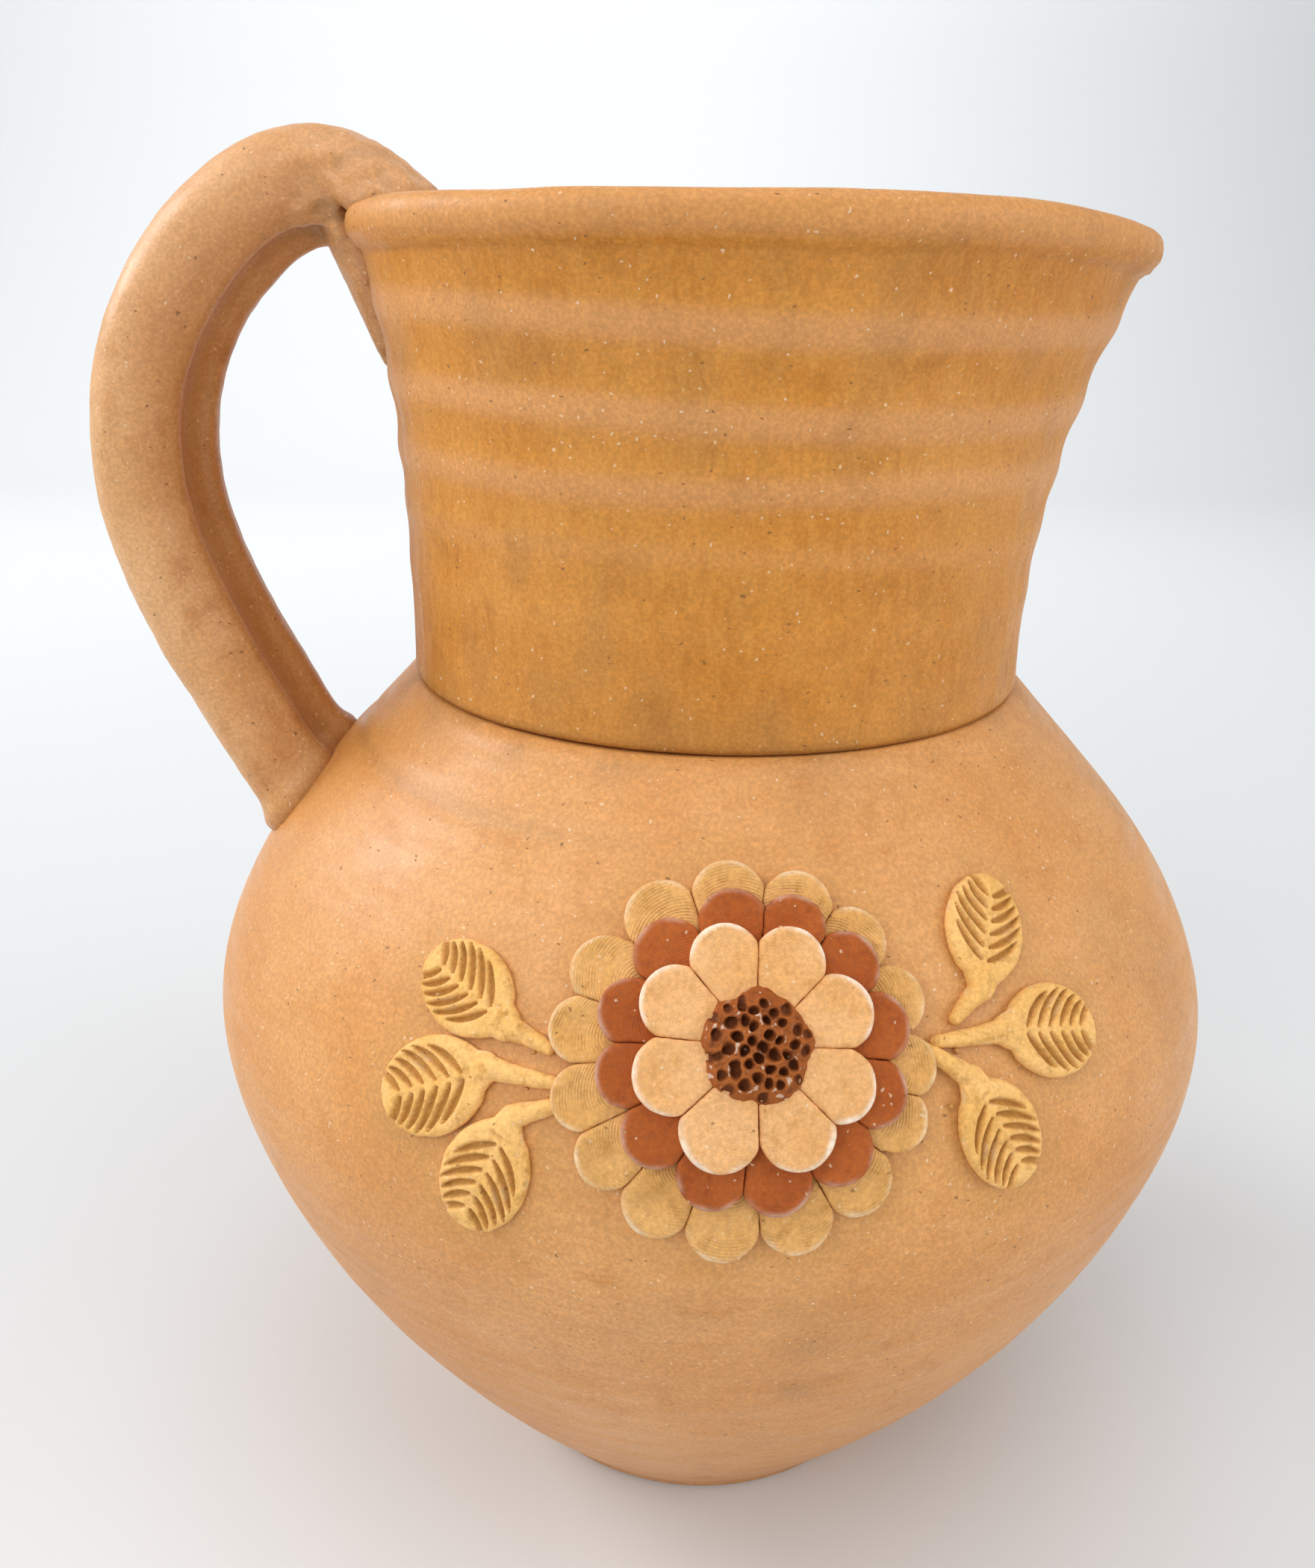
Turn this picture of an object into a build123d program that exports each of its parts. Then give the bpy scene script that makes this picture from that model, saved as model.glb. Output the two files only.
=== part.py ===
"""Hand-made terracotta pitcher with a pressed-clay flower and six leaves on its shoulder.

Millimetres, +Z up. The origin is the middle of the foot, on the axis the body was thrown around.
The spout points along +X, the handle along -X, and the flower faces -Y.
"""
from build123d import *
import os
from math import cos, exp, radians, sin, sqrt, tan

# ---- thrown body ----
foot_radius = 42.0
foot_rounding = 2.0
belly_radius = 96.0
belly_height = 98.5
body_wall = 6.5
floor_thickness = 8.0
flank_shape = [(0.25, 0.36), (0.53, 0.70), (0.81, 0.93)]  # shares of belly height, of the swelling
shoulder_shape = [(0.28, 0.90), (0.64, 0.525)]  # shares of shoulder height, of the narrowing
outline_samples = 17

# ---- collar, luted on the shoulder, with the spout pulled from it ----
collar_radius = 57.5
collar_height = 160.0
collar_wall = 6.0
rim_radius = 66.0
rim_height = 242.0
flare_power = 3.0
band_height = 5.5
band_bulge = 1.2
band_rounding = 1.8
spout_reach = 12.5
spout_root = 172.0
spout_power = 1.5
spout_spread = 30.0
spout_dip = 4.0
spout_dip_start = 32.0
section_points = 28
collar_sections = 6

# ---- pulled loop handle ----
handle_depth = 18.5
handle_width = 27.0
groove_depth = 2.6
groove_radius = 7.0
groove_rounding = 1.5
handle_twist = 18.0
handle_reach = 103.5
handle_reach_height = 196.0
handle_foot_height = 135.0
handle_apex_rise = 3.0
handle_sink = 4.0
handle_overlap = 8.0
handle_low_inset, handle_low_rise = 0.32, 0.4
handle_high_inset, handle_high_rise = 0.2, 0.62
handle_crown_inset = 0.85
web_drop = 24.0
web_lean = 3.4
web_top_radius = 9.5
web_bottom_radius = 1.4

# ---- flower ----
flower_height = 127.0
outer_tip, middle_tip, inner_tip = 27.8, 22.5, 17.6
outer_heel, middle_heel = 13.0, 8.0
outer_thickness, middle_thickness, inner_thickness = 2.2, 2.0, 2.0
outer_shift = (-1.3, -0.9)
petal_fullness = 1.05
outer_bearings = [94, 68, 44, 19, -4, -22, -47, -72, -98, -122, -145, -166, 171, 149, 120]
middle_bearings = [98, 70, 40, 9, -20, -50, -81, -110, -141, -169, 164, 132]
inner_bearings = [108, 66, 22, -24, -64, -115, -163, 151]
centre_radius = 7.9
centre_dome = 2.6
poke_count = 42
poke_radius = 0.82
poke_depth = 1.6
poke_margin = 0.9
golden_angle = 180.0 * (3.0 - sqrt(5.0))

# ---- leaves: where each blade sits, which way its tip points, and where its stem ends ----
leaf_thickness = 2.0
blade_length = 17.5
blade_width = 13.6
stem_width = 3.8
stem_tip_width = 1.8
vein_count = 6
vein_width = 0.75
vein_depth = 1.3
vein_slant = 38.0
neck_reach = 0.58 * blade_length
throat_reach = 0.2 * blade_length
throat_radius = 0.3 * blade_width
vein_offset = 0.09 * blade_width
vein_field = 0.66 * blade_length
longest_vein = 0.42 * blade_width
vein_fan, vein_fan_middle = 150.0, 0.42
leaves = {
    "leaf_left_upper": ((-42.6, 2.8), 158, (-27.2, -2.0)),
    "leaf_left_middle": ((-47.6, -11.4), -152, (-29.3, -6.2)),
    "leaf_left_lower": ((-38.6, -21.6), -112, (-28.9, -9.5)),
    "leaf_right_upper": ((37.6, 12.4), 58, (26.9, 1.2)),
    "leaf_right_middle": ((48.3, -4.3), -14, (28.2, -0.3)),
    "leaf_right_lower": ((37.2, -15.8), -66, (27.3, -1.6)),
}


# ---- the thrown outline, and places on the wall ----
def thrown_outline():
    """Half section of the body's outside, from the foot up to the collar."""
    swelling = belly_radius - foot_radius
    narrowing = belly_radius - collar_radius
    shoulder_rise = collar_height - belly_height
    points = [(foot_radius, 0)]
    points += [(foot_radius + swelling * out, belly_height * up) for up, out in flank_shape]
    points += [(belly_radius, belly_height)]
    for up, out in shoulder_shape:
        points.append((collar_radius + narrowing * out, belly_height + shoulder_rise * up))
    points += [(collar_radius, collar_height)]
    return Spline(*[Vector(radius, 0, height) for radius, height in points])


outline = thrown_outline()


def outward(share):
    """Outward normal of the outline at a share of its length."""
    along = outline % share
    return Vector(along.Z, 0, -along.X)


def share_at_height(height):
    """Share of the outline's length at which the wall reaches a height."""
    low, high = 0.0, 1.0
    while high - low > 1e-7:
        middle = (low + high) / 2
        if (outline @ middle).Z < height:
            low = middle
        else:
            high = middle
    return low


def wall_plane(across, up):
    """Plane on the wall, at distances across and up from the flower's middle, facing outwards."""
    share = share_at_height(flower_height) + up / outline.length
    point, normal = outline @ share, outward(share)
    turn = across / point.X
    return Plane(
        origin=(point.X * sin(turn), -point.X * cos(turn), point.Z),
        x_dir=(cos(turn), sin(turn), 0),
        z_dir=(normal.X * sin(turn), -normal.X * cos(turn), normal.Z),
    )


def filled_wall(growth):
    """Solid of revolution inside the wall's outside face, moved outwards by growth."""
    shares = [step / (outline_samples - 1) for step in range(outline_samples)]
    points = [outline @ share + outward(share) * growth for share in shares]
    top, bottom = points[-1].Z, points[0].Z
    edges = [
        Spline(*points),
        Line(points[-1], (0, 0, top)),
        Line((0, 0, top), (0, 0, bottom)),
        Line((0, 0, bottom), points[0]),
    ]
    return revolve(make_face(edges), Axis.Z)


# ---- body ----
def vessel_body():
    above_floor = Pos(0, 0, floor_thickness) * Cylinder(
        belly_radius, collar_height, align=(Align.CENTER, Align.CENTER, Align.MIN)
    )
    cavity = filled_wall(-body_wall) & above_floor
    mouth_depth = 4 * body_wall
    mouth = Pos(0, 0, collar_height) * Cylinder(collar_radius - collar_wall, mouth_depth)
    solid = filled_wall(0) - cavity - mouth
    foot_edge = solid.edges().group_by(Axis.Z)[0].sort_by(SortBy.RADIUS)[-1]
    return fillet(foot_edge, foot_rounding)


# ---- collar ----
def collar_section(height, growth):
    """Closed outline of the collar at one height, with the spout's swelling on the +X side."""
    rise = (height - collar_height) / (rim_height - collar_height)
    base = collar_radius + (rim_radius - collar_radius) * rise**flare_power
    pull_rise = max(0.0, (height - spout_root) / (rim_height - spout_root))
    pull = spout_reach * pull_rise**spout_power
    points = []
    for step in range(section_points):
        bearing = 360.0 * step / section_points - 180.0
        radius = base + growth + pull * exp(-((bearing / spout_spread) ** 2))
        points.append((radius * cos(radians(bearing)), radius * sin(radians(bearing))))
    return Pos(0, 0, height) * make_face(Spline(*points, periodic=True))


def collar_loft(low, high, sections, growth):
    heights = [low + (high - low) * step / (sections - 1) for step in range(sections)]
    return loft([collar_section(height, growth) for height in heights])


def collar_filled():
    """The collar and its mouth as one filled solid, its rim dipping towards the spout's tip."""
    band_foot = rim_height - band_height
    wall = collar_loft(collar_height, band_foot, collar_sections, 0)
    filled = wall + collar_loft(band_foot, rim_height, 2, band_bulge)
    dip_run = rim_radius + spout_reach - spout_dip_start
    dip_radius = dip_run**2 / (2 * spout_dip)
    axle = Pos(spout_dip_start, 0, rim_height - dip_radius)
    hump = axle * Rot(90, 0, 0) * Cylinder(dip_radius, 4 * rim_radius)
    over = axle * Box(
        2 * dip_run, 4 * rim_radius, 2 * dip_radius, align=(Align.MIN, Align.CENTER, Align.MIN)
    )
    return filled - (over - hump)


def collar():
    bore = collar_loft(collar_height, rim_height, collar_sections, -collar_wall)
    solid = collar_filled() - bore
    band = [face for face in solid.faces() if face.center().Z > rim_height - band_height]
    lip = [face for face in band if face.normal_at().Z > 0.8]
    lip_edges = [edge for face in lip for edge in face.edges() if edge.length > rim_radius]
    return fillet(lip_edges, band_rounding)


# ---- handle ----
def handle_path():
    """Centre line of the loop, from inside the shoulder up and over to inside the rim."""
    foot = outline @ share_at_height(handle_foot_height)
    foot_normal = outward(share_at_height(handle_foot_height))
    start = foot - foot_normal * handle_sink
    rise = handle_reach_height - handle_foot_height
    apex = rim_height + handle_apex_rise
    drop = apex - handle_reach_height
    gap = handle_reach - rim_radius
    points = [
        Vector(-start.X, 0, start.Z),
        Vector(-(handle_reach - handle_low_inset * gap), 0, handle_foot_height + handle_low_rise * rise),
        Vector(-handle_reach, 0, handle_reach_height),
        Vector(-(handle_reach - handle_high_inset * gap), 0, handle_reach_height + handle_high_rise * drop),
        Vector(-(handle_reach - handle_crown_inset * gap), 0, apex),
        Vector(-(rim_radius - handle_overlap), 0, rim_height - handle_sink),
    ]
    return Spline(*points)


def handle_section():
    """Strap section: a flattened oval with a finger groove along its inner face."""
    oval = Ellipse(handle_depth / 2, handle_width / 2)
    groove_centre = handle_depth / 2 - groove_depth + groove_radius
    groove = Pos(groove_centre, 0) * Circle(groove_radius)
    section = fillet((oval - groove).vertices(), groove_rounding)
    return Rot(0, 0, -handle_twist) * section


def handle(body_fill, collar_fill):
    path = handle_path()
    start = Plane(origin=path @ 0, x_dir=Vector((path % 0).Z, 0, -(path % 0).X), z_dir=path % 0)
    strap = sweep(start * handle_section(), path)
    web_top = rim_height - handle_sink
    web_root = web_top - web_drop
    web_foot_reach = rim_radius - handle_sink - web_lean
    web = loft([
        Pos(-web_foot_reach, 0, web_root) * Circle(web_bottom_radius),
        Pos(-(rim_radius - handle_sink), 0, web_top) * Circle(web_top_radius),
    ])
    return strap + web - collar_fill - body_fill


# ---- flower ----
def petal_outline(bearings, index, tip, heel):
    """Rounded petal filling its share of the ring, between the seams to its two neighbours."""
    bearing = bearings[index]
    before, after = bearings[index - 1], bearings[(index + 1) % len(bearings)]
    left = ((before - bearing) % 360) / 2
    right = ((bearing - after) % 360) / 2
    spread = petal_fullness * tan(radians((left + right) / 2))
    ball_distance = tip / (1 + spread)
    ball = Pos(ball_distance, 0) * Circle(tip - ball_distance)
    reach = 2 * tip
    corners = [(0, 0)]
    corners += [(reach * cos(radians(turn)), reach * sin(radians(turn))) for turn in (-right, 0, left)]
    seams = make_face(Polyline(*corners, close=True))
    petal = (ball + Circle(ball_distance)) & seams
    if heel:
        petal -= Circle(heel)
    return Rot(0, 0, bearing) * petal


def petal_tier(name, bearings, tip, heel, layer, shift=(0, 0)):
    """The petals of one tier, cut from a layer of clay that follows the wall."""
    bed = wall_plane(0, 0)
    petals = {}
    for index in range(len(bearings)):
        outline_here = Pos(*shift) * petal_outline(bearings, index, tip, heel)
        block = extrude(bed * outline_here, tip, dir=bed.z_dir, both=True)
        petals[f"{name}_{index + 1:02d}"] = layer & block
    return petals


def flower_centre(base_fill):
    """Domed disc, poked all over with holes laid out like the seeds of a flower head."""
    bed = wall_plane(0, 0)
    dome_radius = (centre_radius**2 + centre_dome**2) / (2 * centre_dome)
    top = outer_thickness + middle_thickness + inner_thickness + centre_dome
    disc_foot = top - centre_dome - inner_thickness
    disc = bed * Pos(0, 0, disc_foot) * extrude(Circle(centre_radius), 2 * centre_dome)
    dome = bed * Pos(0, 0, top - dome_radius) * Sphere(dome_radius)
    solid = (disc & dome) - base_fill
    poke_spacing = (centre_radius - poke_margin - poke_radius) / sqrt(poke_count - 1)
    pokes = []
    for index in range(poke_count):
        distance, turn = poke_spacing * sqrt(index), radians(golden_angle * index)
        height = sqrt(dome_radius**2 - distance**2) + top - dome_radius
        poke = Pos(distance * cos(turn), distance * sin(turn), height) * Cylinder(poke_radius, 2 * poke_depth)
        pokes.append(bed * poke)
    return solid - pokes


# ---- leaves ----
def leaf_outline(centre, tip_bearing, stem_end):
    """Round blade on a stem that tapers towards the flower."""
    toward = Vector(stem_end[0] - centre[0], stem_end[1] - centre[1])
    spine = Vector(cos(radians(tip_bearing)), sin(radians(tip_bearing)))
    neck = spine * (-neck_reach)
    blade = Rot(0, 0, tip_bearing) * Ellipse(blade_length / 2, blade_width / 2)
    throat = make_hull(
        (Pos(*(spine * (-throat_reach))) * Circle(throat_radius)).edges()
        + (Pos(*neck) * Circle(stem_width / 2)).edges()
    )
    stem = make_hull(
        (Pos(*neck) * Circle(stem_width / 2)).edges() + (Pos(*toward) * Circle(stem_tip_width / 2)).edges()
    )
    return blade + throat + stem


def leaf_veins(tip_bearing):
    """Slanted tool cuts on both sides of the spine, longest in the middle of the blade."""
    cuts = []
    for side in (-1, 1):
        for index in range(vein_count):
            share = index / (vein_count - 1)
            along = vein_field * (share - 0.5)
            length = longest_vein * cos(radians(vein_fan * (share - vein_fan_middle)))
            slot = SlotCenterPoint((0, 0), (length / 2, 0), vein_width)
            turn = Rot(0, 0, side * vein_slant)
            cut = Pos(along, side * vein_offset) * turn * Pos(length / 2, 0) * slot
            cuts.append(Rot(0, 0, tip_bearing) * cut)
    return cuts


def leaf_block(centre, tip_bearing, stem_end):
    """Leaf outline pushed through the wall, both ways from where the blade sits."""
    plane = wall_plane(*centre)
    outline_here = leaf_outline(centre, tip_bearing, stem_end)
    return extrude(plane * outline_here, blade_length, dir=plane.z_dir, both=True)


def leaf(placing, layer, taken):
    """One leaf, trimmed where earlier leaves and the outer petals already lie."""
    centre, tip_bearing, _ = placing
    floor = wall_plane(*centre).offset(leaf_thickness - vein_depth)
    veins = [extrude(floor * cut, leaf_thickness, dir=floor.z_dir) for cut in leaf_veins(tip_bearing)]
    return (layer & leaf_block(*placing)) - taken - veins


# ---- assembly ----
def build():
    body_fill = filled_wall(0)
    nodes = {"vessel_body": vessel_body(), "collar": collar()}
    nodes["handle"] = handle(body_fill, collar_filled())

    bed = wall_plane(0, 0)
    patch = bed * Cylinder(1.5 * outer_tip, outer_tip)
    middle_top = outer_thickness + middle_thickness
    tops = (0, outer_thickness, middle_top, middle_top + inner_thickness)
    wall, outer_fill, middle_fill, inner_fill = [filled_wall(top) & patch for top in tops]
    outer_layer = outer_fill - wall
    middle_layer = middle_fill - outer_fill
    inner_layer = inner_fill - middle_fill
    outer_petals = petal_tier("outer_petal", outer_bearings, outer_tip, outer_heel, outer_layer, outer_shift)
    nodes |= outer_petals
    nodes |= petal_tier("middle_petal", middle_bearings, middle_tip, middle_heel, middle_layer)
    nodes |= petal_tier("inner_petal", inner_bearings, inner_tip, 0, inner_layer)
    nodes["flower_centre"] = flower_centre(inner_fill)

    leaf_patch = bed * Box(4 * belly_radius, 2 * outer_tip, belly_radius)
    leaf_layer = (filled_wall(leaf_thickness) - body_fill) & leaf_patch
    taken = list(outer_petals.values())
    for name, placing in leaves.items():
        nodes[name] = leaf(placing, leaf_layer, taken)
        taken = taken + [leaf_block(*placing)]
    return nodes


if __name__ == "__main__":
    os.makedirs("parts", exist_ok=True)
    for name, solid in build().items():
        export_step(solid, f"parts/{name}.step")
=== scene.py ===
"""Hand-made terracotta pitcher with a pressed-clay flower and leaves, finished over its CAD frame.

Metres, +Z up. The spout points along +X, the handle along -X, and the flower faces -Y.
"""

import bpy
import bmesh
import random
from math import atan2, cos, degrees, exp, hypot, pi, radians, sin, sqrt
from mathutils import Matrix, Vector, noise
from mathutils.bvhtree import BVHTree


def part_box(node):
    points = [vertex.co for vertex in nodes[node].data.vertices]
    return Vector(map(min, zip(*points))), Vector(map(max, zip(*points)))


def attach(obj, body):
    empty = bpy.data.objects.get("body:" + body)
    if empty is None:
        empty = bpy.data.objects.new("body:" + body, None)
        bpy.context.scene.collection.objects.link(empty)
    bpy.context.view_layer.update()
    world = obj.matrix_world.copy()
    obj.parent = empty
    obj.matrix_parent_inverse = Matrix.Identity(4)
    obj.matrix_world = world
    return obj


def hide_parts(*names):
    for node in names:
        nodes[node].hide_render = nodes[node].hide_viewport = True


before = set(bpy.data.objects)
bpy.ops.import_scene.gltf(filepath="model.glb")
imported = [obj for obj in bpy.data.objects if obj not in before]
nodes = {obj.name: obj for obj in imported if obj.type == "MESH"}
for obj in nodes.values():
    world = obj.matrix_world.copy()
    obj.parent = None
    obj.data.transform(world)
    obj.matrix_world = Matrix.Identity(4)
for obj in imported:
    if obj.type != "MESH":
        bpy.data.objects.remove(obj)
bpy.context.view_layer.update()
MM = 0.001

# ---- sizes read from the frame ----
joint_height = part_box("vessel_body")[1].z
rim_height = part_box("collar")[1].z
outer_petals = sorted(name for name in nodes if name.startswith("outer_petal"))
middle_petals = sorted(name for name in nodes if name.startswith("middle_petal"))
inner_petals = sorted(name for name in nodes if name.startswith("inner_petal"))
leaves = sorted(name for name in nodes if name.startswith("leaf"))

# ---- sizes of the hand work ----
round_steps = 200
wall_rows = 64
inside_rows = 26
throwing_rings = [(64.5, 0.70), (51.5, 0.68), (41.0, 0.60), (30.5, 0.36), (19.0, 0.24)]  # mm up, mm out
throwing_ring_width = 3.3 * MM
scored_ring_height = joint_height - 10.6 * MM
scored_ring_depth = 0.6 * MM
scored_ring_width = 0.9 * MM


# ---- hand tools ----
def select_only(piece):
    bpy.ops.object.select_all(action="DESELECT")
    piece.select_set(True)
    bpy.context.view_layer.objects.active = piece


def apply_modifier(piece, kind, **settings):
    select_only(piece)
    modifier = piece.modifiers.new(kind.lower(), kind)
    for name, value in settings.items():
        setattr(modifier, name, value)
    bpy.ops.object.modifier_apply(modifier=modifier.name)


def tidy_mesh(piece, gap=0.01 * MM):
    """Merge doubled vertices and turn every face outwards."""
    select_only(piece)
    bpy.ops.object.mode_set(mode="EDIT")
    bpy.ops.mesh.select_all(action="SELECT")
    bpy.ops.mesh.remove_doubles(threshold=gap)
    bpy.ops.mesh.normals_make_consistent(inside=False)
    bpy.ops.object.mode_set(mode="OBJECT")


def smooth_shading(piece):
    select_only(piece)
    bpy.ops.object.shade_smooth()


def copy_of_node(name, piece_name):
    """A free copy of a CAD part's mesh, as raw clay to work on."""
    mesh = nodes[name].data.copy()
    mesh.materials.clear()
    piece = bpy.data.objects.new(piece_name, mesh)
    bpy.context.scene.collection.objects.link(piece)
    tidy_mesh(piece)
    return piece


def soften(piece, voxel, rounds, strength=0.5):
    """Even out the clay and round its edges."""
    apply_modifier(piece, "REMESH", mode="VOXEL", voxel_size=voxel, adaptivity=0.0)
    apply_modifier(piece, "SMOOTH", factor=strength, iterations=rounds)


def push(piece, rule):
    """Move each vertex by rule(place, normal)."""
    mesh = piece.data
    moves = [rule(vertex.co.copy(), vertex.normal.copy()) for vertex in mesh.vertices]
    for vertex, move in zip(mesh.vertices, moves):
        vertex.co += move
    mesh.update()


def deepen(piece, rounds, amount):
    """Exaggerate grooves and ridges, and return how hollow the clay is at each vertex."""
    before = [vertex.co.copy() for vertex in piece.data.vertices]
    blurred = piece.copy()
    blurred.data = piece.data.copy()
    bpy.context.scene.collection.objects.link(blurred)
    apply_modifier(blurred, "SMOOTH", factor=0.5, iterations=rounds)
    hollows = []
    for vertex, soft in zip(piece.data.vertices, blurred.data.vertices):
        depth = (soft.co - before[vertex.index]).dot(vertex.normal)
        hollows.append(depth)
        vertex.co -= vertex.normal * amount * max(-0.8 * MM, min(1.5 * MM, depth - 0.1 * MM))
    bpy.data.objects.remove(blurred)
    return hollows


def paint(piece, name, rule):
    """Store a mask between 0 and 1 on the piece's vertices."""
    mesh = piece.data
    layer = mesh.attributes.new(name, "FLOAT", "POINT")
    for vertex in mesh.vertices:
        layer.data[vertex.index].value = max(0.0, min(1.0, rule(vertex.co, vertex.normal)))


def ease(value, low, high):
    """Smooth step from 0 at low to 1 at high."""
    share = max(0.0, min(1.0, (value - low) / (high - low)))
    return share * share * (3 - 2 * share)


def lumps(place, size, seed=0.0):
    return noise.noise(place / size + Vector((seed, seed, seed)))


def hand_unevenness(place):
    """Slow swelling and small dents that a hand leaves in a thrown wall."""
    return 0.32 * MM * lumps(place, 34 * MM) + 0.10 * MM * lumps(place, 11 * MM, 3.0)


def finish(piece, replaced):
    smooth_shading(piece)
    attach(piece, "root")
    if replaced:
        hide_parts(*replaced)
    piece.data.materials.clear()


# ---- where the CAD walls are ----
body_node, collar_node = nodes["vessel_body"], nodes["collar"]


def tree_of(node):
    mesh = node.data
    return BVHTree.FromPolygons([v.co for v in mesh.vertices], [p.vertices for p in mesh.polygons])


body_tree, collar_tree = tree_of(body_node), tree_of(collar_node)
far = 0.3


def outside_radius(tree, bearing, height):
    away = Vector((cos(bearing), sin(bearing), 0))
    hit = tree.ray_cast(away * far + Vector((0, 0, height)), -away)[0]
    return hypot(hit.x, hit.y)


def inside_radius(tree, bearing, height):
    away = Vector((cos(bearing), sin(bearing), 0))
    hit = tree.ray_cast(Vector((0, 0, height)), away)[0]
    return hypot(hit.x, hit.y)


def top_height(tree, bearing, radius):
    start = Vector((radius * cos(bearing), radius * sin(bearing), far))
    return tree.ray_cast(start, Vector((0, 0, -1)))[0].z


def skin_over_rings(name, rings):
    """A closed tube of quads over rings of points, the last ring joined back to the first."""
    count = len(rings[0])
    points = [point for ring in rings for point in ring]
    faces = []
    for row in range(len(rings)):
        above = (row + 1) % len(rings)
        for step in range(count):
            nextstep = (step + 1) % count
            faces.append((row * count + step, row * count + nextstep, above * count + nextstep, above * count + step))
    mesh = bpy.data.meshes.new(name)
    mesh.from_pydata(points, [], faces)
    piece = bpy.data.objects.new(name, mesh)
    bpy.context.scene.collection.objects.link(piece)
    tidy_mesh(piece)
    return piece


# ---- thrown body ----
def body_outline():
    """Half section of the body: foot, outside, top edge, inside, floor."""
    back = pi / 2
    points = [(0.0, 0.0)]
    foot = outside_radius(body_tree, back, 2.2 * MM)
    points += [(foot * 0.5, 0.0), (foot - 3.2 * MM, 0.0), (foot - 1.4 * MM, 0.25 * MM), (foot - 0.5 * MM, 1.0 * MM)]
    rows = 88
    for row in range(rows + 1):
        height = 2.2 * MM + (joint_height - 2.4 * MM) * row / rows
        points.append((outside_radius(body_tree, back, height), height))
    inside = [inside_radius(body_tree, back, joint_height - 0.3 * MM)]
    floor_height = body_tree.ray_cast(Vector((0, 0, 0.5 * joint_height)), Vector((0, 0, -1)))[0].z
    for row in range(inside_rows + 1):
        height = joint_height - 0.2 * MM - (joint_height - floor_height - 2.0 * MM) * row / inside_rows
        points.append((inside_radius(body_tree, back, height), height))
    last = points[-1][0]
    points += [(last - 2 * MM, floor_height + 0.4 * MM), (last * 0.6, floor_height), (0.0, floor_height)]
    return points


def turn_on_wheel(name, outline):
    """Spin a half section round the axis."""
    mesh = bpy.data.meshes.new(name)
    places = [(radius, 0, height) for radius, height in outline]
    mesh.from_pydata(places, [(step, step + 1) for step in range(len(places) - 1)], [])
    piece = bpy.data.objects.new(name, mesh)
    bpy.context.scene.collection.objects.link(piece)
    select_only(piece)
    bpy.ops.object.mode_set(mode="EDIT")
    bpy.ops.mesh.select_all(action="SELECT")
    bpy.ops.mesh.spin(steps=round_steps, angle=2 * pi, center=(0, 0, 0), axis=(0, 0, 1))
    bpy.ops.object.mode_set(mode="OBJECT")
    tidy_mesh(piece)
    return piece


def bearing_of(place):
    return degrees(atan2(place.y, place.x))


def scored_ring(place):
    """How strongly the scored ring shows: on the handle's side of the front."""
    side = ease(-bearing_of(place), 92, 128) + ease(bearing_of(place), 120, 175)
    return exp(-(((place.z - scored_ring_height) / scored_ring_width) ** 2)) * min(1.0, side)


def decoration_points():
    names = outer_petals + leaves
    return [vertex.co.copy() for name in names for vertex in list(nodes[name].data.vertices)[::7]]


def near_decoration():
    """Nearness (0 to 1) to the applied flower and leaves, where slip was brushed on the wall."""
    from mathutils.kdtree import KDTree

    places = decoration_points()
    tree = KDTree(len(places))
    for index, place in enumerate(places):
        tree.insert(place, index)
    tree.balance()
    return lambda place: 1.0 - ease(tree.find(place)[2], 1.5 * MM, 7.0 * MM)


def make_body():
    piece = turn_on_wheel("body_wall", body_outline())

    def worked(place, normal):
        if place.z < 1.0 * MM:
            return Vector((0, 0, 0))
        hold = ease(place.z, 1.0 * MM, 14 * MM)
        groove = scored_ring(place) * scored_ring_depth
        lip = 0.5 * exp(-(((place.z - scored_ring_height - 1.6 * MM) / (1.1 * MM)) ** 2)) * scored_ring_depth
        lip *= min(1.0, ease(-bearing_of(place), 92, 128))
        return normal * (hold * hand_unevenness(place) - groove + lip)

    push(piece, worked)
    slip = near_decoration()
    front_smudges = [Vector((8.5, -90.5, 80.5)) * MM, Vector((9.0, -87.0, 68.0)) * MM]
    neck = joint_height

    # Smudges at the neck base and below the flower, cloudy darker drifts, and painted shade in the scored ring's
    # groove.
    def smudge_and_shade(place, _):
        ring = exp(-(((place.z - neck + 1.5 * MM) / (2.6 * MM)) ** 2)) * ease(lumps(place, 8 * MM, 7.0), -0.05, 0.35)
        groove = 0.65 * scored_ring(place)
        spots = 0.0
        for spot in front_smudges:
            spots += 0.55 * exp(-((place - spot).length / (3.2 * MM)) ** 2)
        drift = 0.30 * ease(lumps(place, 22 * MM, 9.0), 0.2, 0.6)
        return 0.4 * ring + groove + spots + 0.6 * drift

    paint(piece, "smudge_and_shade", smudge_and_shade)
    paint(piece, "slip", lambda place, normal: slip(place))
    paint(piece, "light_and_shade", lambda place, normal: 0.5)
    finish(piece, ["vessel_body"])
    return piece


# ---- collar with its rolled rim and pulled spout ----
def lip_curve():
    """The rolled rim: out from the band's outer face and down from its top, in mm."""
    return [(-1.5, -6.9), (-1.25, -6.2), (-0.75, -5.6), (-0.2, -4.9), (0.0, -4.0), (0.0, -2.9), (-0.15, -1.9),
            (-0.6, -1.05), (-1.3, -0.45), (-2.2, -0.1), (-3.4, 0.0), (-4.6, -0.05), (-5.6, -0.35), (-6.4, -0.95),
            (-6.95, -1.9), (-7.2, -3.1)]


def ring_height_shift(bearing):
    """The throwing rings climb a little towards the handle."""
    return -1.2 * MM * cos(bearing)


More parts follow.
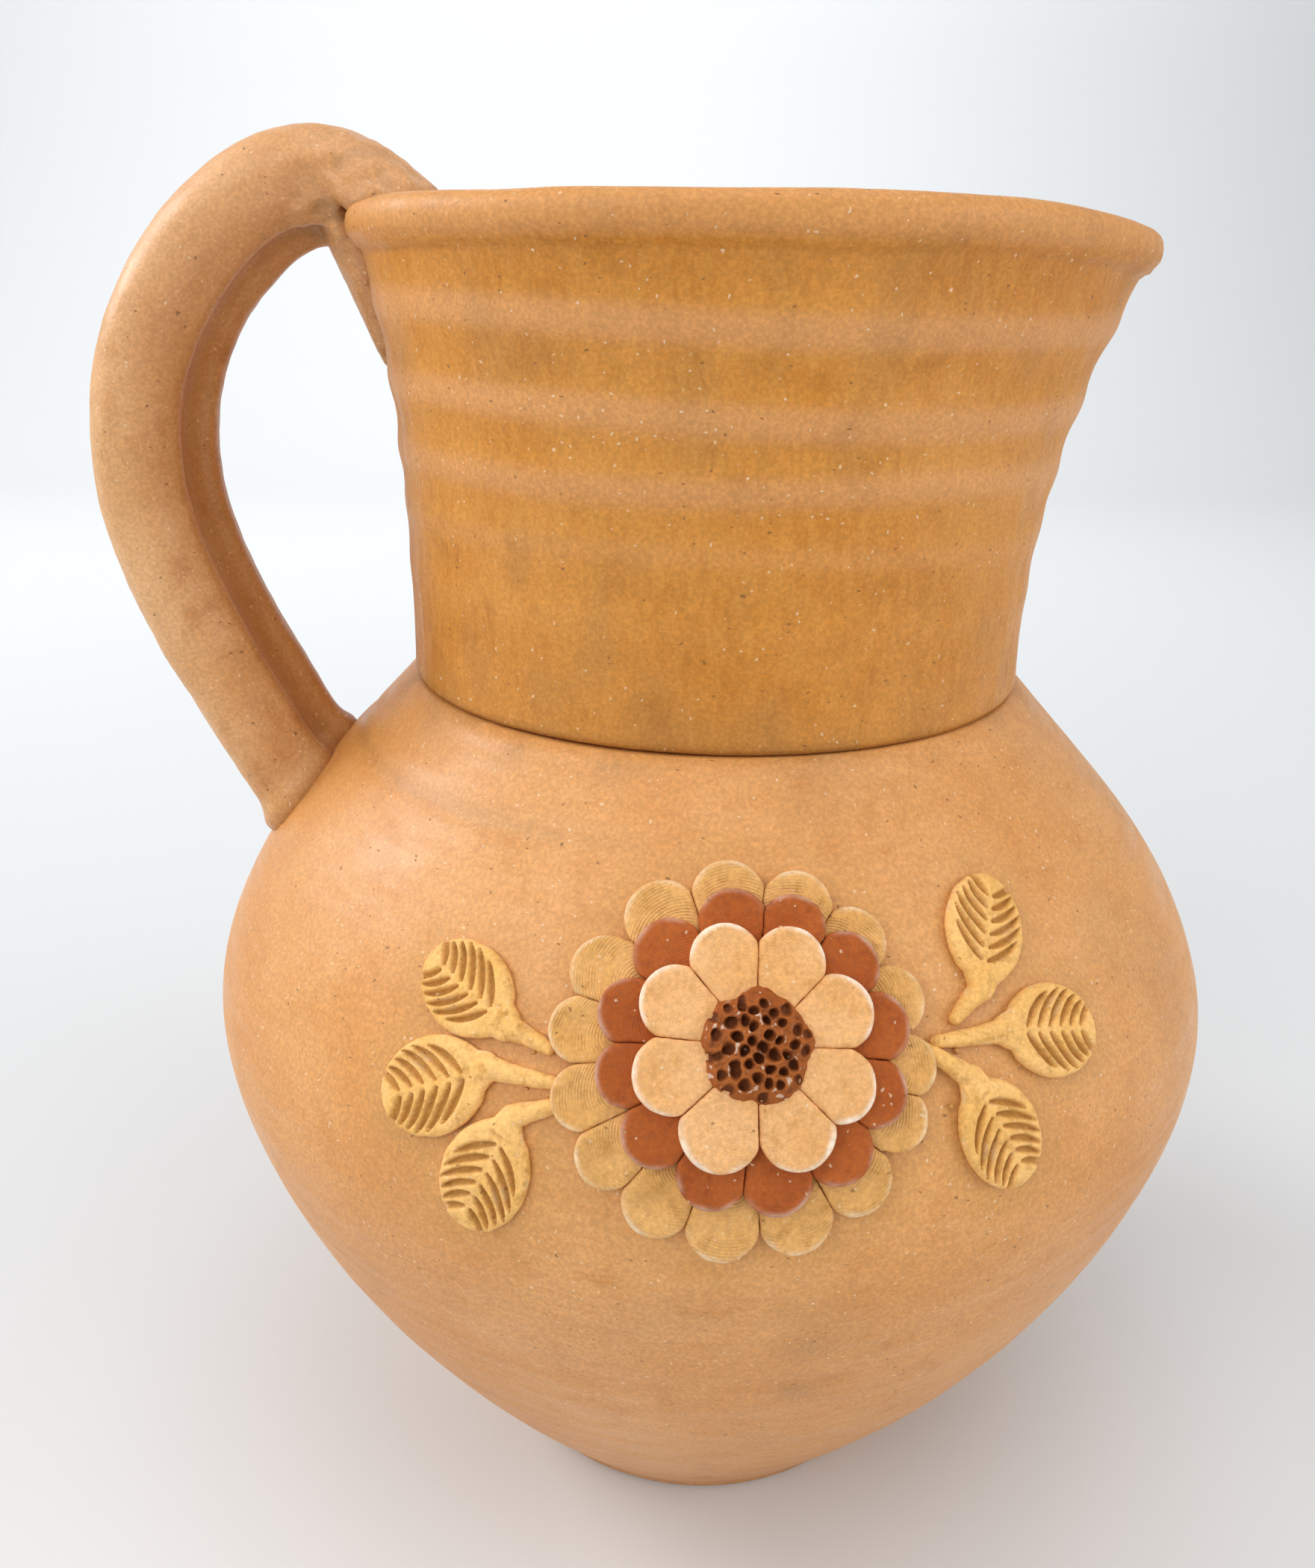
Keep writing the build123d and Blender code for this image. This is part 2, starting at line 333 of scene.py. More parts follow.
def throwing(bearing, height):
    """How far the throwing rings stand out, as a share of the tallest."""
    swell = 0.0
    for rise, amount in throwing_rings:
        centre = joint_height + rise * MM + ring_height_shift(bearing) + 0.8 * MM * sin(2.3 * bearing + rise)
        swell += amount * exp(-(((height - centre) / throwing_ring_width) ** 2))
    return swell


def make_collar():
    bearings = [2 * pi * step / round_steps for step in range(round_steps)]
    tops, bands = [], []
    for bearing in bearings:
        near_top = outside_radius(collar_tree, bearing, rim_height - 7 * MM)
        top = top_height(collar_tree, bearing, near_top - 2.5 * MM)
        tops.append(top)
        bands.append(outside_radius(collar_tree, bearing, top - 3 * MM))
    rings = []
    for row in range(wall_rows + 1):
        ring = []
        for bearing, top in zip(bearings, tops):
            height = joint_height + 0.05 * MM + (top - 7.4 * MM - joint_height) * row / wall_rows
            radius = outside_radius(collar_tree, bearing, height)
            radius += throwing(bearing, height) * MM - 0.25 * MM
            ring.append((radius * cos(bearing), radius * sin(bearing), height))
        rings.append(ring)
    for out, up in lip_curve():
        ring = []
        for bearing, top, band in zip(bearings, tops, bands):
            radius, height = band + out * MM, top + up * MM
            ring.append((radius * cos(bearing), radius * sin(bearing), height))
        rings.append(ring)
    for row in range(inside_rows + 1):
        ring = []
        for bearing, top in zip(bearings, tops):
            height = top - 5 * MM - (top - 5 * MM - joint_height - 0.05 * MM) * row / inside_rows
            radius = inside_radius(collar_tree, bearing, height)
            ring.append((radius * cos(bearing), radius * sin(bearing), height))
        rings.append(ring)
    piece = skin_over_rings("collar_wall", rings)
    apply_modifier(piece, "SMOOTH", factor=0.4, iterations=2)

    def worked(place, normal):
        scraped = 0.06 * MM * noise.noise(Vector((place.x / 0.003, place.y / 0.003, place.z / 0.02)))
        wobble = 0.35 * MM * lumps(place, 26 * MM, 5.0) * ease(place.z, rim_height - 9 * MM, rim_height)
        return normal * (hand_unevenness(place) + scraped + wobble)

    push(piece, worked)
    # Painted highlight on the throwing rings and the rim band, painted shade in the hollows between the rings.
    paint(piece, "light_and_shade", lambda place, normal: 0.28 + throwing(atan2(place.y, place.x), place.z)
          + 0.5 * ease(place.z, rim_height - 8 * MM, rim_height - 5 * MM))

    # Smudges near the foot of the collar, cloudy patches, and painted shade in the crease where the collar meets the
    # body.
    def smudge_and_shade(place, _):
        foot = exp(-(((place.z - joint_height) / (9 * MM)) ** 2)) * ease(lumps(place, 12 * MM, 7.0), -0.1, 0.4)
        patches = 0.35 * ease(lumps(Vector((place.x, place.y, place.z * 0.6)), 9 * MM, 2.0), 0.15, 0.55)
        crease = 0.45 * exp(-(((place.z - joint_height) / (1.3 * MM)) ** 2))
        return 0.30 * foot + 0.7 * patches + crease

    paint(piece, "smudge_and_shade", smudge_and_shade)
    paint(piece, "slip", lambda place, normal: 0.0)
    finish(piece, ["collar"])
    return piece


# ---- pulled handle ----
def make_handle():
    piece = copy_of_node("handle", "handle_strap")
    walls = [body_tree, collar_tree]

    def nearest_wall(place):
        return min((tree.find_nearest(place) for tree in walls), key=lambda found: found[3])

    def into_wall(place, _):
        found = nearest_wall(place)
        return found[1] * (-2.2 * MM) if found[3] < 0.12 * MM else Vector((0, 0, 0))

    apply_modifier(piece, "REMESH", mode="VOXEL", voxel_size=0.9 * MM, adaptivity=0.0)
    push(piece, into_wall)
    low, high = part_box("handle")
    lower_joint = Vector((-75.5, 0, 131)) * MM
    upper_joint = Vector((-64, 0, 236)) * MM
    smear = 10 * MM

    def smeared(place, _):
        found = nearest_wall(place)
        joint = lower_joint if place.z < 0.5 * (low.z + high.z) else upper_joint
        away = place - joint
        away -= found[1] * away.dot(found[1])
        if away.length < 1 * MM:
            return Vector((0, 0, 0))
        closeness = 1.0 - ease(found[3], 0.0, smear)
        reach = (1.5 if joint is lower_joint else 1.3) * MM
        return away.normalized() * reach * closeness**3

    push(piece, smeared)
    apply_modifier(piece, "SMOOTH", factor=0.5, iterations=10)
    hollows = deepen(piece, 60, 0.9)
    torn_place = Vector((-64, -9.5, 243)) * MM

    def worked(place, normal):
        torn = exp(-(((place - torn_place).length / (9 * MM)) ** 2))
        rough = torn * (1.7 * MM * lumps(place, 4.2 * MM, 4.0) + 1.0 * MM * lumps(place, 2.0 * MM, 8.0))
        pulled = 0.22 * MM * noise.noise(Vector((place.x / 0.009, place.y / 0.004, place.z / 0.03)))
        return normal * (0.42 * MM * lumps(place, 13 * MM, 6.0) + 0.1 * MM * lumps(place, 3 * MM) + rough + pulled)

    push(piece, worked)
    middle = 0.5 * (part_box("handle")[0].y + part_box("handle")[1].y)
    loop_centre = Vector((-72, middle, 192)) * MM

    def inner_side(place, normal):
        return ease((loop_centre - place).normalized().dot(normal), 0.15, 0.75)

    # Painted shade on the inner side of the loop and in the torn patch's dents; darker where the handle meets the
    # wall.
    def smudge_and_shade(place, normal):
        closeness = 1.0 - ease(nearest_wall(place)[3], 0.0, 3.0 * MM)
        torn = exp(-(((place - torn_place).length / (9 * MM)) ** 2)) * ease(-lumps(place, 4.2 * MM, 4.0), 0.0, 0.3)
        return 0.30 * inner_side(place, normal) + 0.3 * closeness + 0.7 * torn

    paint(piece, "smudge_and_shade", smudge_and_shade)
    # Painted shade in the strap's groove and other hollows.
    groove = piece.data.attributes["smudge_and_shade"].data
    for index, hollow in enumerate(hollows):
        groove[index].value = min(1.0, groove[index].value + 0.55 * ease(hollow, 0.05 * MM, 0.6 * MM))
    # Painted shade on the inner side of the loop, painted highlight on the top of the handle.
    paint(piece, "light_and_shade", lambda place, normal: 0.42 - 0.3 * inner_side(place, normal)
          + 0.5 * ease(place.z, 185 * MM, 240 * MM))
    paint(piece, "slip", lambda place, normal: 0.0)
    finish(piece, ["handle"])
    return piece


# ---- flower: places on its bed ----
flower_low, flower_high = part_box("flower_centre")
flower_middle = 0.5 * (flower_low + flower_high)
flower_seat, flower_out, _, _ = body_tree.find_nearest(flower_middle)
flower_across = Vector((1, 0, 0))
flower_out = (flower_out - flower_across * flower_out.x).normalized()
flower_up = flower_out.cross(flower_across)
if flower_up.z < 0:
    flower_up = -flower_up


def on_bed(place, origin=None):
    """Across, up and out from the flower's seat."""
    away = place - (origin or flower_seat)
    return away.dot(flower_across), away.dot(flower_up), away.dot(flower_out)


def height_over_wall(place):
    found = body_tree.find_nearest(place)
    return (place - found[0]).dot(found[1]), found[1]


def set_press_map(piece, direction, origin, sway):
    """UV map in millimetres, along and across the pad, for the fingerprint ridges."""
    side = direction.cross(flower_out)
    mesh = piece.data
    layer = mesh.uv_layers.new(name="press")
    for loop in mesh.loops:
        away = mesh.vertices[loop.vertex_index].co - origin
        along, across = away.dot(direction) / MM, away.dot(side) / MM
        layer.data[loop.index].uv = (across + sway * along, along)


def make_petal(name, dish, plump, wear):
    """One pad of clay pressed down with a fingertip: plump edge, shallow dish, worn rim."""
    piece = copy_of_node(name, name + "_pad")
    soften(piece, 0.28 * MM, 12, 0.6)
    low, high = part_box(name)
    middle = 0.5 * (low + high)
    across, up, _ = on_bed(middle)
    direction = (flower_across * across + flower_up * up).normalized()
    side = direction.cross(flower_out)
    lengths = [(v.co - flower_seat).dot(direction) for v in piece.data.vertices]
    tip, heel = max(lengths), min(lengths)
    widths = [(v.co - flower_seat).dot(side) for v in piece.data.vertices]
    half_width = 0.5 * (max(widths) - min(widths))
    mid_side = 0.5 * (max(widths) + min(widths))
    crown = flower_seat + direction * (tip - half_width * 0.98) + side * mid_side
    rng = random.Random(name)
    tilt, sway = rng.uniform(-0.25, 0.25), rng.uniform(-0.25, 0.25)
    dish_here = dish * rng.uniform(0.8, 1.2)

    def share_out(place):
        away = place - crown
        return hypot(away.dot(direction), away.dot(side)) / half_width

    def pressed(place, normal):
        height, wall_out = height_over_wall(place)
        facing = max(0.0, normal.dot(wall_out))
        share = share_out(place)
        hollow = dish_here * exp(-((share / 0.62) ** 2))
        swell = plump * exp(-(((share - 0.78) / 0.22) ** 2))
        lean = 0.18 * MM * tilt * (place - crown).dot(side) / half_width
        lump = 0.10 * MM * lumps(place, 4.0 * MM, 2.0)
        move = wall_out * (facing * (swell - hollow + lean + lump))
        edge_bumps = 0.10 * MM * lumps(place, 2.2 * MM, 5.0) * (1 - facing)
        return move + normal * edge_bumps

    push(piece, pressed)

    def rub(place, normal):
        _, wall_out = height_over_wall(place)
        facing = normal.dot(wall_out)
        outer = ease((place - crown).dot(direction) / half_width, -0.1, 0.75)
        roll = ease(share_out(place), 0.74, 0.98)
        return wear * outer * roll * ease(facing, -0.1, 0.35) * (0.55 + 0.6 * lumps(place, 2.5 * MM, 1.0))

    paint(piece, "rub", rub)
    set_press_map(piece, direction, crown - direction * 5.5 * MM, sway)
    finish(piece, [name])
    return piece


# ---- flower centre ----
poke_count = 44
poke_field = 7.0 * MM
poke_depth = 1.7 * MM
golden_angle = pi * (3.0 - sqrt(5.0))


def poked_places():
    """Across, up and radius of each hole, laid out like the seeds of a flower head but by hand."""
    rng = random.Random(11)
    places = []
    for index in range(poke_count):
        distance = poke_field * sqrt((index + 0.4) / poke_count) + rng.uniform(-0.22, 0.22) * MM
        turn = golden_angle * index + rng.uniform(-0.12, 0.12)
        places.append((distance * cos(turn), distance * sin(turn), rng.uniform(0.68, 0.98) * MM))
    return places


def make_flower_centre():
    """A cushion of red clay, poked all over with a blunt stick."""
    half_width = 0.5 * (flower_high.x - flower_low.x)
    top = max((v.co - flower_seat).dot(flower_out) for v in nodes["flower_centre"].data.vertices)
    rise = 0.5 * top
    bpy.ops.object.select_all(action="DESELECT")
    bpy.ops.mesh.primitive_ico_sphere_add(subdivisions=7, radius=1)
    piece = bpy.context.object
    piece.name = "flower_centre_cushion"
    middle = on_bed(flower_middle)
    places = poked_places()

    def shaped(place, _):
        squash = 1.0 - 0.18 * max(0.0, place.z) ** 2
        across, up = place.x * half_width, place.y * half_width
        bulge = 1.0 + 0.035 * sin(5 * atan2(up, across) + 0.6) + 0.02 * sin(9 * atan2(up, across))
        across, up = across * bulge, up * bulge
        out = top - rise + place.z * rise * squash / 0.82
        hollow, lip = 0.0, 0.0
        for hole_across, hole_up, radius in places:
            gap = hypot(across - hole_across, up - hole_up) / radius
            if gap < 2.0:
                shallower = 1.0 - 0.6 * (hypot(hole_across, hole_up) / poke_field) ** 2
                hollow = max(hollow, shallower * (1.0 - ease(gap, 0.45, 1.08)))
                lip = max(lip, exp(-(((gap - 1.2) / 0.22) ** 2)))
        facing = ease(place.z, 0.10, 0.45)
        out += facing * (0.28 * MM * lip - poke_depth * hollow)
        seat = flower_seat + flower_across * (across + middle[0]) + flower_up * (up + middle[1])
        return seat + flower_out * out - place

    push(piece, shaped)
    depth_of = []
    for vertex in piece.data.vertices:
        across, up, _ = on_bed(vertex.co)
        across, up = across - middle[0], up - middle[1]
        gaps = [hypot(across - a, up - b) / radius for a, b, radius in places]
        depth_of.append(1.0 - ease(min(gaps), 0.5, 1.15))
    tidy_mesh(piece, 0.001 * MM)

    def worked(place, normal):
        shoved = noise.noise_vector(place / (2.4 * MM)) * 0.45 * MM
        shoved -= flower_out * shoved.dot(flower_out)
        return shoved + normal * (0.16 * MM * lumps(place, 0.8 * MM, 6.0))

    push(piece, worked)
    # Painted shade in the poked holes, stored in the hole mask.
    paint(piece, "hole", lambda place, normal: 0.0)
    layer = piece.data.attributes["hole"].data
    for index, depth in enumerate(depth_of[:len(layer)]):
        layer[index].value = depth
    paint(piece, "rub", lambda place, normal: ease(lumps(place, 0.9 * MM, 11.0), 0.30, 0.5)
          * ease(normal.dot(flower_out), 0.3, 0.8))
    rubbed = piece.data.attributes["rub"].data
    for index in range(len(rubbed)):
        rubbed[index].value *= 1.0 - layer[index].value
    set_press_map(piece, flower_up, flower_middle, 0.0)
    finish(piece, ["flower_centre"])
    return piece


# ---- leaves ----
leaf_thickness = 2.0 * MM
blade_length, blade_width = 17.5 * MM, 13.6 * MM
stem_width, stem_tip_width = 3.8 * MM, 1.9 * MM
neck_reach = 0.58 * blade_length
stem_run = 9.0 * MM
cuts_a_side = 6
leaf_places = {  # blade centre and stem end from the flower's middle, mm; bearing of the tip, degrees
    "leaf_left_upper": ((-42.6, 2.8), 158, (-27.2, -2.0)),
    "leaf_left_middle": ((-47.6, -11.4), -152, (-29.3, -6.2)),
    "leaf_left_lower": ((-38.6, -21.6), -112, (-28.9, -9.5)),
    "leaf_right_upper": ((37.6, 12.4), 58, (26.9, 1.2)),
    "leaf_right_middle": ((48.3, -4.3), -14, (28.2, -0.3)),
    "leaf_right_lower": ((37.2, -15.8), -66, (27.3, -1.6)),
}


def slab(length, width, middle, thickness):
    """Flat rounded lozenge of clay."""
    bpy.ops.mesh.primitive_cylinder_add(vertices=96, radius=1, depth=1, location=(middle, 0, 0.5 * thickness))
    piece = bpy.context.object
    piece.scale = (0.5 * length, 0.5 * width, thickness)
    bpy.ops.object.transform_apply(location=True, rotation=True, scale=True)
    apply_modifier(piece, "BEVEL", width=0.5 * thickness, segments=5, limit_method="ANGLE", angle_limit=radians(50))
    return piece


def comb_strokes():
    """Curved tool strokes on both sides of the spine: lists of (x, y, half width)."""
    strokes = []
    for side in (-1, 1):
        for index in range(cuts_a_side):
            share = index / (cuts_a_side - 1)
            x, y = blade_length * (0.60 * share - 0.31), side * 0.55 * MM
            length = blade_width * (0.34 + 0.20 * sin(pi * min(1.0, share + 0.25)))
            first, last = (60, 30) if side > 0 else (56, 34)
            stroke, steps = [], 14
            for step in range(steps + 1):
                along = step / steps
                turn = radians(first + (last - first) * along)
                stroke.append((x, y, 0.56 * MM * sin(pi * (0.08 + 0.88 * along)) ** 0.6))
                x += length / steps * cos(turn)
                y += side * length / steps * sin(turn)
            strokes.append(stroke)
    return strokes


def make_flat_leaf():
    """One leaf as it lies on the table, its tip along +X, before it is pressed on the pot."""
    blade = slab(blade_length, blade_width, 0, leaf_thickness)
    throat = slab(0.62 * blade_length, 0.44 * blade_width, -0.34 * blade_length, leaf_thickness)
    bpy.ops.mesh.primitive_cone_add(vertices=48, radius1=0.5 * stem_width, radius2=0.5 * stem_tip_width,
                                    depth=stem_run + 3 * MM, location=(-neck_reach - 0.5 * stem_run + 1.5 * MM, 0, 0.9 * MM),
                                    rotation=(0, -0.5 * pi, 0))
    stem = bpy.context.object
    bpy.ops.object.transform_apply(location=True, rotation=True, scale=True)
    stem.scale.z = 0.95
    bpy.ops.object.transform_apply(location=True, rotation=True, scale=True)
    bpy.ops.mesh.primitive_uv_sphere_add(radius=0.5 * stem_tip_width, location=(-neck_reach - stem_run, 0, 0.9 * MM))
    knob = bpy.context.object
    bpy.ops.object.transform_apply(location=True, rotation=True, scale=True)
    bpy.ops.object.select_all(action="DESELECT")
    for part in (blade, throat, stem, knob):
        part.select_set(True)
    bpy.context.view_layer.objects.active = blade
    bpy.ops.object.join()
    leaf = bpy.context.object
    leaf.name = "flat_leaf"
    soften(leaf, 0.19 * MM, 8, 0.5)
    strokes = comb_strokes()

    def cut_depth(place):
        deepest = 0.0
        for stroke in strokes:
            for x, y, half in stroke:
                gap = hypot(place.x - x, place.y - y)
                if gap < 1.5 * half:
                    deepest = max(deepest, 1.0 - ease(gap, 0.35 * half, 1.35 * half))
        return deepest

    def combed(place, normal):
        upper = ease(place.z, 0.35 * leaf_thickness, 0.75 * leaf_thickness)
        dome = 0.25 * MM * max(0.0, 1.0 - (2 * place.x / blade_length) ** 2 - (2 * place.y / blade_width) ** 2)
        lump = 0.16 * MM * lumps(place, 3.2 * MM, 1.0) + 0.05 * MM * lumps(place, 1.1 * MM, 9.0)
        return Vector((0, 0, upper * (dome - 1.15 * MM * cut_depth(place)))) + normal * lump

    # Painted shade in the comb cuts, stored in the hole mask.
    paint(leaf, "hole", lambda place, normal: cut_depth(place) * ease(place.z, 0.5 * MM, 1.2 * MM))
    push(leaf, combed)
    apply_modifier(leaf, "SMOOTH", factor=0.5, iterations=2)
    paint(leaf, "rub", lambda place, normal: 0.5 * ease(lumps(place, 2.6 * MM, 4.0), 0.1, 0.5)
          * ease(place.z, 0.6 * MM, 1.6 * MM) * ease(1.0 - normal.z, 0.15, 0.6))
    layer = leaf.data.uv_layers.new(name="press")
    for loop in leaf.data.loops:
        place = leaf.data.vertices[loop.vertex_index].co / MM
        layer.data[loop.index].uv = (place.x, place.y + 6.0)
    return leaf


def wall_place(across, up):
    """Seat and directions on the wall, at distances along it from the flower's seat."""
    back, step = 0.5 * pi, 0.25 * MM
    rise, height, travelled = (1 if up > 0 else -1) * step, flower_seat.z, 0.0
    radius = outside_radius(body_tree, back, height)
    while travelled < abs(up):
        above = outside_radius(body_tree, back, height + rise)
        travelled += hypot(above - radius, rise)
        radius, height = above, height + rise
    turn = across / radius
    seat = Vector((radius * sin(turn), -radius * cos(turn), height))
    out = body_tree.find_nearest(seat)[1]
    sideways = Vector((cos(turn), sin(turn), 0))
    out = (out - sideways * out.dot(sideways)).normalized()
    return seat, sideways, out.cross(sideways), out


def press_leaf(flat, name, mirrored):
    """Bend a copy of the flat leaf's stem to its place and press it on the wall."""
    centre, bearing, stem_end = leaf_places[name]
    seat, sideways, upwards, out = wall_place(centre[0] * MM, centre[1] * MM)
    spine = Vector((cos(radians(bearing)), sin(radians(bearing))))
    beside = Vector((-spine.y, spine.x))
    neck = spine * -neck_reach
    run = Vector((stem_end[0] - centre[0], stem_end[1] - centre[1])) * MM - neck
    stem_beside = Vector((run.y, -run.x)).normalized()
    piece = flat.copy()
    piece.data = flat.data.copy()
    piece.name = name + "_pad"
    bpy.context.scene.collection.objects.link(piece)
    grow = 1.0 + 0.04 * sin(3.0 * centre[0])
    for vertex in piece.data.vertices:
        x, y, height = vertex.co
        y = -y if mirrored else y
        straight = spine * x * grow + beside * y * grow
        bent = neck + run * ((-neck_reach - x) / stem_run) + stem_beside * y
        share = ease(-x, neck_reach - 3.0 * MM, neck_reach + 1.5 * MM)
        flat_place = straight.lerp(bent, share)
        above = seat + sideways * flat_place.x + upwards * flat_place.y + out * 25 * MM
        hit, normal, _, _ = body_tree.ray_cast(above, -out)
        vertex.co = hit + normal * (height - 0.25 * MM)
    tidy_mesh(piece)
    finish(piece, [name])
    return piece


def make_leaves():
    flat = make_flat_leaf()
    pads = [press_leaf(flat, name, index % 2 == 1) for index, name in enumerate(leaves)]
    bpy.data.objects.remove(flat)
    return pads


# ---- crumbs of clay left beside the stems ----
def make_crumbs():
    rng = random.Random(7)
    spots = []
    for index in range(16):
        side = -1 if index < 9 else 1
        spots.append((side * rng.uniform(27.5, 35.5) * MM, rng.uniform(-9.5, 1.5) * MM))
    crumbs = []
    for across, up in spots:
        start = flower_seat + flower_across * across + flower_up * up + flower_out * 30 * MM
        hit, out, _, _ = body_tree.ray_cast(start, -flower_out)
        size = rng.uniform(0.28, 0.6) * MM
        bpy.ops.mesh.primitive_ico_sphere_add(subdivisions=2, radius=size, location=hit + out * 0.3 * size)
        crumb = bpy.context.object
        bpy.ops.object.transform_apply(location=True, rotation=True, scale=True)
        push(crumb, lambda place, normal: normal * 0.6 * size * lumps(place, size * 0.8, 1.0))
        crumbs.append(crumb)
    bpy.ops.object.select_all(action="DESELECT")
    for crumb in crumbs:
        crumb.select_set(True)
    bpy.context.view_layer.objects.active = crumbs[0]
    bpy.ops.object.join()
    piece = bpy.context.object
    piece.name = "clay_crumbs"
    bpy.context.scene.cursor.location = (0, 0, 0)
    bpy.ops.object.origin_set(type="ORIGIN_CURSOR")
    paint(piece, "smudge_and_shade", lambda place, normal: 0.15)
    paint(piece, "slip", lambda place, normal: 0.8)
    paint(piece, "light_and_shade", lambda place, normal: 0.4)
    finish(piece, [])
    return piece


# ---- materials ----
def new_node(tree, kind, **settings):
    node = tree.nodes.new(kind)
    for name, value in settings.items():
        if name in node.inputs:
            node.inputs[name].default_value = value
        else:
            setattr(node, name, value)
    return node


def maths(tree, operation, first, second=None, clamp=False):
    node = tree.nodes.new("ShaderNodeMath")
    node.operation = operation
    node.use_clamp = clamp
    for index, value in enumerate((first, second)):
        if value is None:
            continue
        if isinstance(value, (int, float)):
            node.inputs[index].default_value = value
        else:
            tree.links.new(value, node.inputs[index])
    return node.outputs[0]


def stepped(tree, value, low, high, to_low=0.0, to_high=1.0):
    node = tree.nodes.new("ShaderNodeMapRange")
    node.interpolation_type = "SMOOTHSTEP"
    tree.links.new(value, node.inputs["Value"])
    for name, number in zip(("From Min", "From Max", "To Min", "To Max"), (low, high, to_low, to_high)):
        node.inputs[name].default_value = number
    return node.outputs["Result"]


def blended(tree, factor, first, second, mode="MIX"):
    node = tree.nodes.new("ShaderNodeMix")
    node.data_type = "RGBA"
    node.blend_type = mode
    for socket, value in ((node.inputs[0], factor), (node.inputs[6], first), (node.inputs[7], second)):
        if isinstance(value, (int, float)):
            socket.default_value = value
        elif isinstance(value, tuple):
            socket.default_value = (*value, 1.0)
        else:
            tree.links.new(value, socket)
    return node.outputs[2]


def noise_value(tree, vector, scale, detail=3.0, roughness=0.55):
    node = new_node(tree, "ShaderNodeTexNoise", Scale=scale, Detail=detail, Roughness=roughness)
    tree.links.new(vector, node.inputs["Vector"])
    return node.outputs["Fac"]


def stretched(tree, vector, scale):
    node = tree.nodes.new("ShaderNodeVectorMath")
    node.operation = "MULTIPLY"
    tree.links.new(vector, node.inputs[0])
    node.inputs[1].default_value = scale
    return node.outputs[0]


def new_group(name, inputs, outputs):
    group = bpy.data.node_groups.new(name, "ShaderNodeTree")
    for label, kind in inputs:
        group.interface.new_socket(label, in_out="INPUT", socket_type=kind)
    for label, kind in outputs:
        group.interface.new_socket(label, in_out="OUTPUT", socket_type=kind)
    source = group.nodes.new("NodeGroupInput")
    sink = group.nodes.new("NodeGroupOutput")
    return group, source, sink


def speck_mask(tree, vector, scale, size, share):
    """Small round specks in a share of the cells of a scattered pattern."""
    cells = new_node(tree, "ShaderNodeTexVoronoi", Scale=scale)
    tree.links.new(vector, cells.inputs["Vector"])
    near = stepped(tree, cells.outputs["Distance"], size, size * 0.55)
    split = tree.nodes.new("ShaderNodeSeparateColor")
    tree.links.new(cells.outputs["Color"], split.inputs[0])
    chosen = stepped(tree, split.outputs[0], 1.0 - share, 1.0 - share + 0.02)
    return maths(tree, "MULTIPLY", near, chosen)


def clay_grain_group():
    """Grit, pits and fine tooth of coarse fired clay."""
    group, source, sink = new_group(
        "clay_grain",
        [("Vector", "NodeSocketVector")],
        [("Tooth", "NodeSocketFloat"), ("Grit", "NodeSocketFloat"), ("Pits", "NodeSocketFloat"),
         ("Height", "NodeSocketFloat")],
    )
    vector = source.outputs["Vector"]
    tooth = noise_value(group, vector, 1500.0, 4.0, 0.7)
    coarse = noise_value(group, vector, 420.0, 3.0, 0.6)
    warped = group.nodes.new("ShaderNodeVectorMath")
    warped.operation = "MULTIPLY_ADD"
    jitter = new_node(group, "ShaderNodeTexNoise", Scale=900.0, Detail=2.0)
    group.links.new(vector, jitter.inputs["Vector"])
    group.links.new(jitter.outputs["Color"], warped.inputs[0])
    warped.inputs[1].default_value = (0.0012, 0.0012, 0.0012)
    group.links.new(vector, warped.inputs[2])
    shaken = warped.outputs[0]
    small_grit = speck_mask(group, shaken, 820.0, 0.22, 0.16)
    large_grit = speck_mask(group, stretched(group, shaken, (1.6, 1.6, 0.8)), 330.0, 0.11, 0.12)
    grit = maths(group, "MAXIMUM", small_grit, large_grit)
    slits = stretched(group, shaken, (1.0, 1.0, 1.8))
    fine_pits = speck_mask(group, slits, 560.0, 0.19, 0.12)
    pits = maths(group, "MAXIMUM", fine_pits, speck_mask(group, shaken, 150.0, 0.075, 0.08))
    height = maths(group, "ADD", maths(group, "MULTIPLY", tooth, 0.5), maths(group, "MULTIPLY", coarse, 0.5))
    height = maths(group, "SUBTRACT", height, maths(group, "MULTIPLY", pits, 0.9))
    height = maths(group, "ADD", height, maths(group, "MULTIPLY", grit, 0.25))
    for label, value in (("Tooth", tooth), ("Grit", grit), ("Pits", pits), ("Height", height)):
        group.links.new(value, sink.inputs[label])
    return group


def fired_mottle_group():
    """Cloudy kiln colour between a light, a middle and a deep tone."""
    group, source, sink = new_group(
        "fired_mottle",
        [("Vector", "NodeSocketVector"), ("Light", "NodeSocketColor"), ("Middle", "NodeSocketColor"),
         ("Deep", "NodeSocketColor")],
        [("Colour", "NodeSocketColor"), ("Cloud", "NodeSocketFloat")],
    )
    vector = source.outputs["Vector"]
    cloud = noise_value(group, vector, 24.0, 4.0, 0.6)
    patch = noise_value(group, vector, 130.0, 4.0, 0.65)
    colour = blended(group, stepped(group, cloud, 0.35, 0.68), source.outputs["Light"], source.outputs["Middle"])
    deep = maths(group, "MULTIPLY", stepped(group, patch, 0.48, 0.78), 0.75)
    colour = blended(group, deep, colour, source.outputs["Deep"])
    group.links.new(colour, sink.inputs["Colour"])
    group.links.new(cloud, sink.inputs["Cloud"])
    return group


